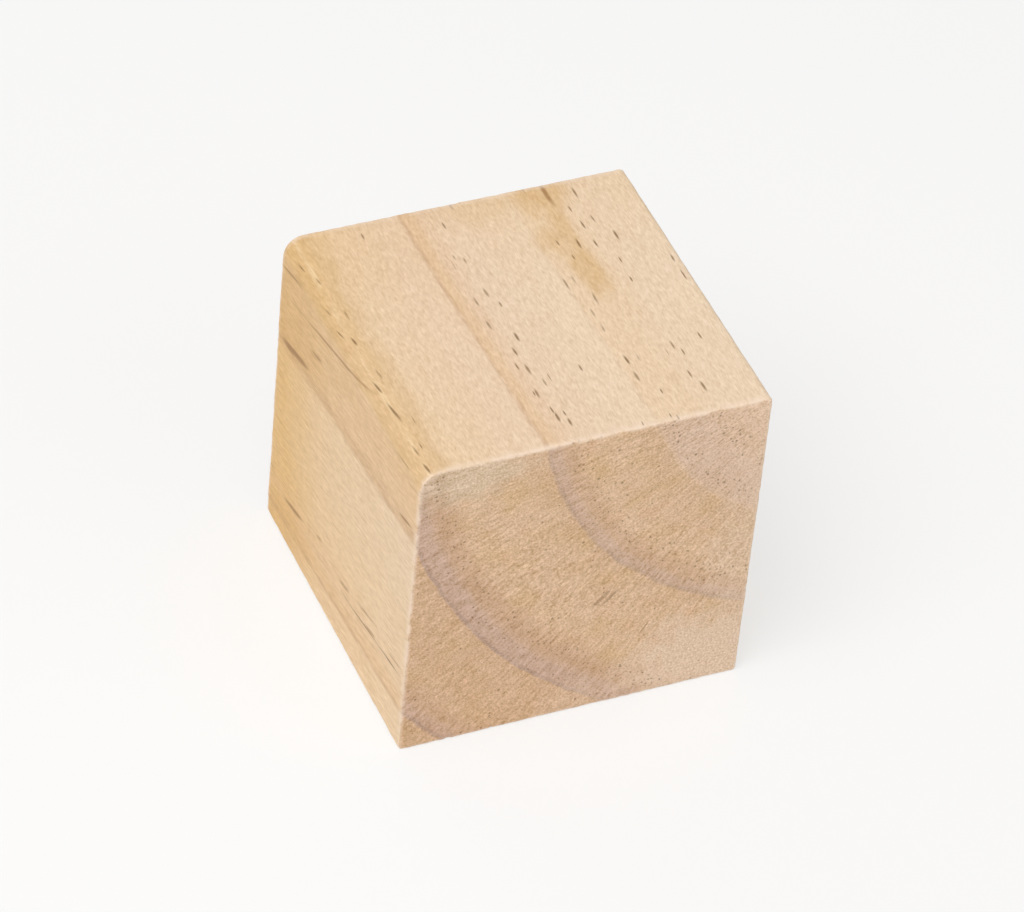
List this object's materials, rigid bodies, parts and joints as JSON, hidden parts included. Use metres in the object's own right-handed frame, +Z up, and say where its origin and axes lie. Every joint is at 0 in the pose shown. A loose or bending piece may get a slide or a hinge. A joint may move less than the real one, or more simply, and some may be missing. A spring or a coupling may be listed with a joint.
{
  "type": "wooden cube",
  "caption": "Plain solid softwood cube with planed long-grain faces, sawn end grain and a rounded long edge, for stacking, gluing or spacing.",
  "frame": {"origin": "middle of the base face, on the surface that the cube stands on", "axes": "+Z up out of the top face; Y along the grain, with -Y out of the front sawn end; +X to the right, away from the rounded long edge"},
  "size_m": [0.05, 0.05, 0.05],
  "materials": {
    "bare_pine": "bare planed softwood, matt, unfinished"
  },
  "bodies": {
    "root": {"wooden_cube": "bare_pine"}
  },
  "joints": []
}
